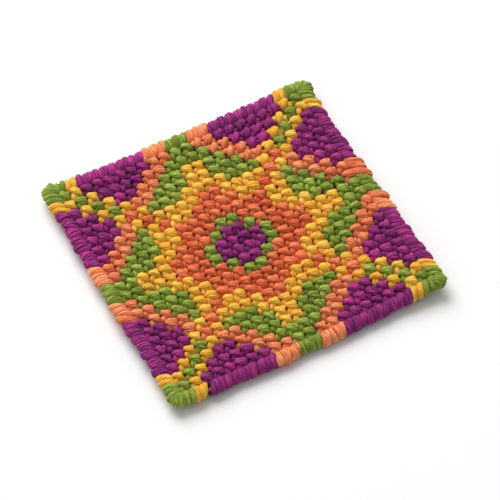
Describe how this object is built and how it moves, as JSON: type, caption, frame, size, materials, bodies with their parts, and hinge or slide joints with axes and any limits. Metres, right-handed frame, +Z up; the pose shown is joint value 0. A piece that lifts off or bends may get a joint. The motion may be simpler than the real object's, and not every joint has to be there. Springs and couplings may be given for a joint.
{
  "type": "cross stitch embroidery mat",
  "caption": "Small flat square mat of wool cross stitch on open canvas, in nested diamond bands of colour, its margin whipped over with the same wools.",
  "frame": {"origin": "under the middle of the mat's outline, on the surface it lies on", "axes": "+Z up out of the worked face, +X along the near side and +Y along the left side, both along the rows of crosses"},
  "size_m": [0.0904, 0.0882, 0.0067],
  "materials": {
    "purple_wool": "soft four-ply wool, fuzzy",
    "green_wool": "soft four-ply wool, fuzzy",
    "coral_wool": "soft four-ply wool, fuzzy",
    "orange_wool": "soft four-ply wool, fuzzy",
    "gold_wool": "soft four-ply wool, fuzzy",
    "canvas": "stiff cotton mesh"
  },
  "bodies": {
    "root": {"edge_corner_far_left_green": "green_wool", "edge_corner_left_near_green": "green_wool", "edge_corner_near_right_green": "green_wool", "edge_corner_right_far_green": "green_wool", "edge_far_1_gold": "gold_wool", "edge_far_2_purple": "purple_wool", "edge_far_3_coral": "coral_wool", "edge_far_4_green": "green_wool", "edge_far_5_coral": "coral_wool", "edge_far_6_purple": "purple_wool", "edge_far_7_gold": "gold_wool", "edge_left_1_gold": "gold_wool", "edge_left_2_purple": "purple_wool", "edge_left_3_coral": "coral_wool", "edge_left_4_green": "green_wool", "edge_left_5_coral": "coral_wool", "edge_left_6_purple": "purple_wool", "edge_left_7_gold": "gold_wool", "edge_near_1_gold": "gold_wool", "edge_near_2_purple": "purple_wool", "edge_near_3_coral": "coral_wool", "edge_near_4_green": "green_wool", "edge_near_5_coral": "coral_wool", "edge_near_6_purple": "purple_wool", "edge_near_7_gold": "gold_wool", "edge_right_1_gold": "gold_wool", "edge_right_2_purple": "purple_wool", "edge_right_3_coral": "coral_wool", "edge_right_4_green": "green_wool", "edge_right_5_coral": "coral_wool", "edge_right_6_purple": "purple_wool", "edge_right_7_gold": "gold_wool", "stitched_panel": "orange_wool"}
  },
  "joints": []
}
